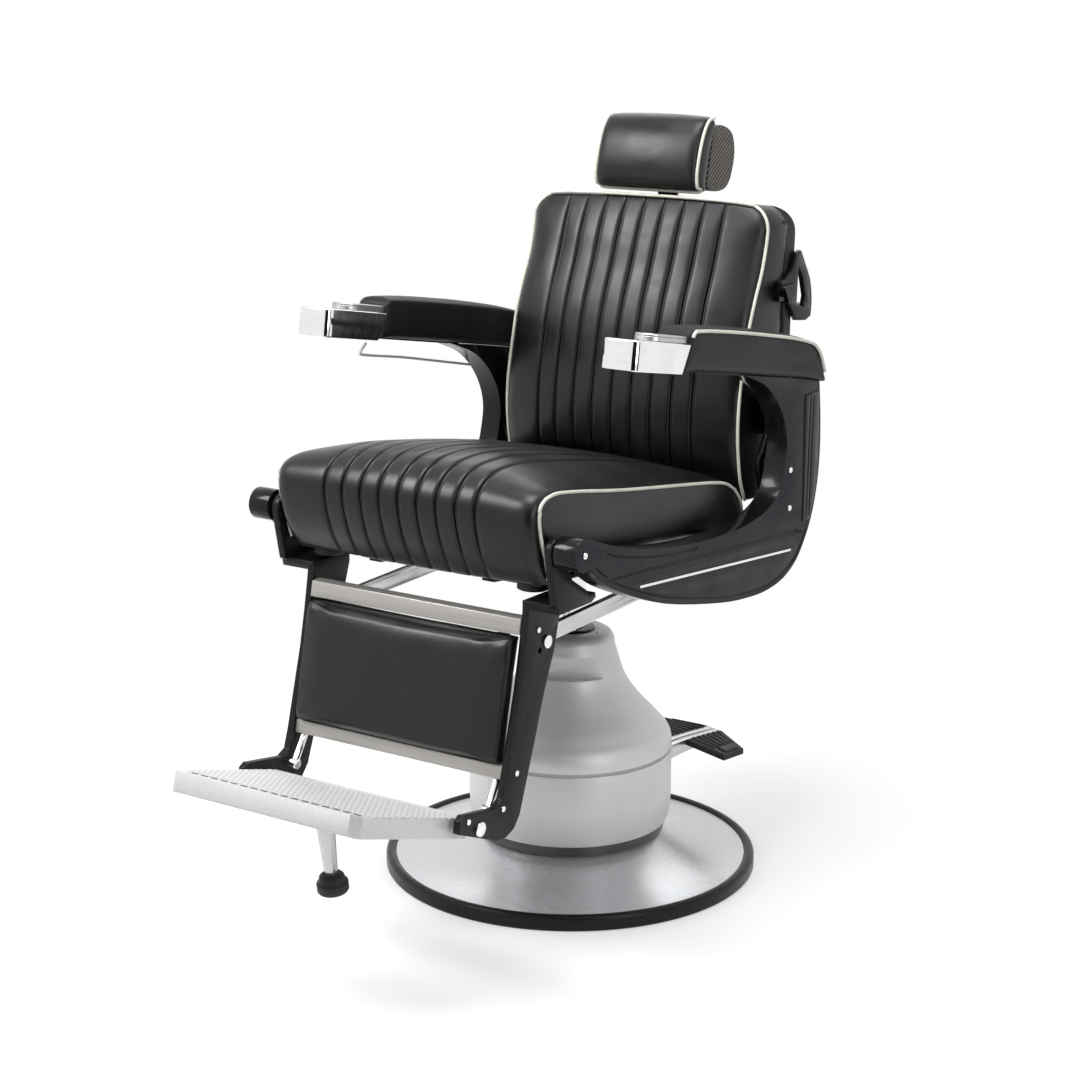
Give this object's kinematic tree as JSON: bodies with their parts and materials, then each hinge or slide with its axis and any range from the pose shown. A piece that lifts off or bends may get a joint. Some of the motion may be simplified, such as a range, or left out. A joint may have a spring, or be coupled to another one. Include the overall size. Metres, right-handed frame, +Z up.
{
  "type": "hydraulic barber chair",
  "caption": "Upholstered barber chair on a round hydraulic swivel base, with reclining back, folding footplate, swinging legrest and adjustable headrest.",
  "frame": {"origin": "on the floor, under the axis of the lift column, at the centre of the base plate's underside", "axes": "+Z up along the lift column, -Y the way the sitter faces, +X to the sitter's left"},
  "size_m": [0.636, 1.1756, 1.2437],
  "materials": {
    "base_rubber": "dark brown-black rubber, satin",
    "cast_base": "painted casting",
    "polished_disc": "satin polished, spun",
    "silver_cover": "satin silver paint",
    "black_trim": "matt black",
    "steel_inner": "machined steel",
    "pedal_metal": "satin silver",
    "pedal_rubber": "ribbed black rubber",
    "chrome": "bright chrome plate",
    "black_frame": "black paint",
    "plywood": "raw plywood board",
    "black_leather": "black satin leathercloth over foam",
    "charcoal_casting": "fine textured charcoal paint on a casting",
    "back_cover": "leathercloth-covered back shell",
    "black_gloss": "gloss black paint on a casting",
    "headrest_rubber": "grey-brown ribbed pad",
    "warm_grey_rail": "satin warm grey",
    "bright_link": "bright flat bar",
    "cast_aluminium": "bright cast aluminium"
  },
  "bodies": {
    "base": {"base_ring": "base_rubber", "base_plate": "cast_base", "base_disc": "polished_disc", "gap_ring": "black_trim", "drum_cover_left": "silver_cover", "drum_cover_right": "silver_cover", "seam_ring": "silver_cover", "bell_cover": "silver_cover", "bell_cap": "black_trim", "cylinder_tube": "steel_inner", "pump_block": "cast_base", "pedal_shaft": "steel_inner", "base_bolts": "steel_inner"},
    "plunger": {"pump_plunger": "steel_inner"},
    "pump_pedal": {"pump_lever": "pedal_metal", "pump_pad": "pedal_rubber"},
    "release_pedal": {"release_lever": "pedal_metal", "release_pad": "pedal_rubber"},
    "column": {"ram": "chrome", "ram_piston": "steel_inner"},
    "seat": {"swivel_hub": "black_frame", "seat_frame": "black_frame", "seat_pan": "plywood", "seat_cushion": "black_leather", "seat_bumpers": "pedal_rubber", "side_frame_left": "charcoal_casting", "side_frame_right": "charcoal_casting", "frame_trims": "black_trim", "chrome_inlays": "chrome", "frame_screws": "chrome", "pivot_pins": "chrome", "arm_tip_left": "chrome", "arm_tip_right": "chrome", "arm_pad_left": "black_leather", "arm_pad_right": "black_leather", "recline_stud": "steel_inner"},
    "lever": {"recline_lever": "chrome"},
    "backrest": {"back_cushion": "black_leather", "back_board": "plywood", "back_shell": "back_cover", "back_lever_left": "black_frame", "back_lever_right": "black_frame", "link_shaft": "steel_inner", "headrest_socket": "steel_inner", "back_handles": "black_gloss"},
    "knob": {"clamp_knob": "black_trim"},
    "post": {"headrest_post": "chrome"},
    "headrest": {"headrest_bracket": "steel_inner", "headrest_cushion": "black_leather", "headrest_back": "headrest_rubber"},
    "legrest": {"legrest_bracket_left": "black_gloss", "legrest_bracket_right": "black_gloss", "legrest_rails": "warm_grey_rail", "legrest_pad": "black_leather", "legrest_struts": "chrome", "legrest_screws": "chrome"},
    "links": {"link_bars": "bright_link"},
    "footrest": {"footplate": "cast_aluminium", "prop_leg": "cast_aluminium", "prop_foot": "base_rubber"}
  },
  "joints": [
    {"name": "lift", "type": "slide", "parent": "base", "child": "column", "axis": [0, 0, 1], "range_m": [-0.135, 0.025]},
    {"name": "swivel", "type": "hinge", "parent": "column", "child": "seat", "pos_m": [0, 0, 0.56], "axis": [0, 0, 1], "continuous": true},
    {"name": "recline", "type": "hinge", "parent": "seat", "child": "backrest", "pos_m": [0, 0.2, 0.69], "axis": [-1, 0, 0], "range_deg": [0, 45]},
    {"name": "legrest_swing", "type": "hinge", "parent": "seat", "child": "legrest", "pos_m": [0, -0.43, 0.672], "axis": [-1, 0, 0], "range_deg": [0, 45]},
    {"name": "link_swing", "type": "hinge", "parent": "backrest", "child": "links", "pos_m": [0, 0.245, 0.536], "axis": [-1, 0, 0], "range_deg": [-45, 0]},
    {"name": "footplate_fold", "type": "hinge", "parent": "legrest", "child": "footrest", "pos_m": [0, -0.56, 0.278], "axis": [-1, 0, 0], "range_deg": [0, 80]},
    {"name": "headrest_height", "type": "slide", "parent": "backrest", "child": "post", "axis": [0, 0, 1], "range_m": [0, 0.1]},
    {"name": "headrest_tilt", "type": "hinge", "parent": "post", "child": "headrest", "pos_m": [0, 0.28, 1.14], "axis": [-1, 0, 0], "range_deg": [-3, 30]},
    {"name": "knob_turn", "type": "hinge", "parent": "backrest", "child": "knob", "pos_m": [0.24, 0.266, 0.968], "axis": [1, 0, 0], "continuous": true},
    {"name": "recline_release", "type": "hinge", "parent": "seat", "child": "lever", "pos_m": [-0.3115, 0.17, 0.806], "axis": [1, 0, 0], "range_deg": [0, 6], "stiffness_Nm_per_rad": 4, "springref_deg": -17.19},
    {"name": "pump", "type": "hinge", "parent": "base", "child": "pump_pedal", "pos_m": [0.03461, 0.10652, 0.138], "axis": [-0.9511, 0.309, 0], "range_deg": [0, 14], "stiffness_Nm_per_rad": 8, "springref_deg": -20.05},
    {"name": "release", "type": "hinge", "parent": "base", "child": "release_pedal", "pos_m": [0.03461, 0.10652, 0.138], "axis": [-0.9511, 0.309, 0], "range_deg": [0, 14], "stiffness_Nm_per_rad": 8, "springref_deg": -20.05},
    {"name": "plunger_stroke", "type": "slide", "parent": "base", "child": "plunger", "axis": [0, 0, 1], "range_m": [0, 0.0085]}
  ],
  "couplings": [
    {"joint": "legrest_swing", "follows": "recline", "ratio": 1},
    {"joint": "link_swing", "follows": "recline", "ratio": -1},
    {"joint": "plunger_stroke", "follows": "pump", "m_per_rad": 0.0335}
  ]
}
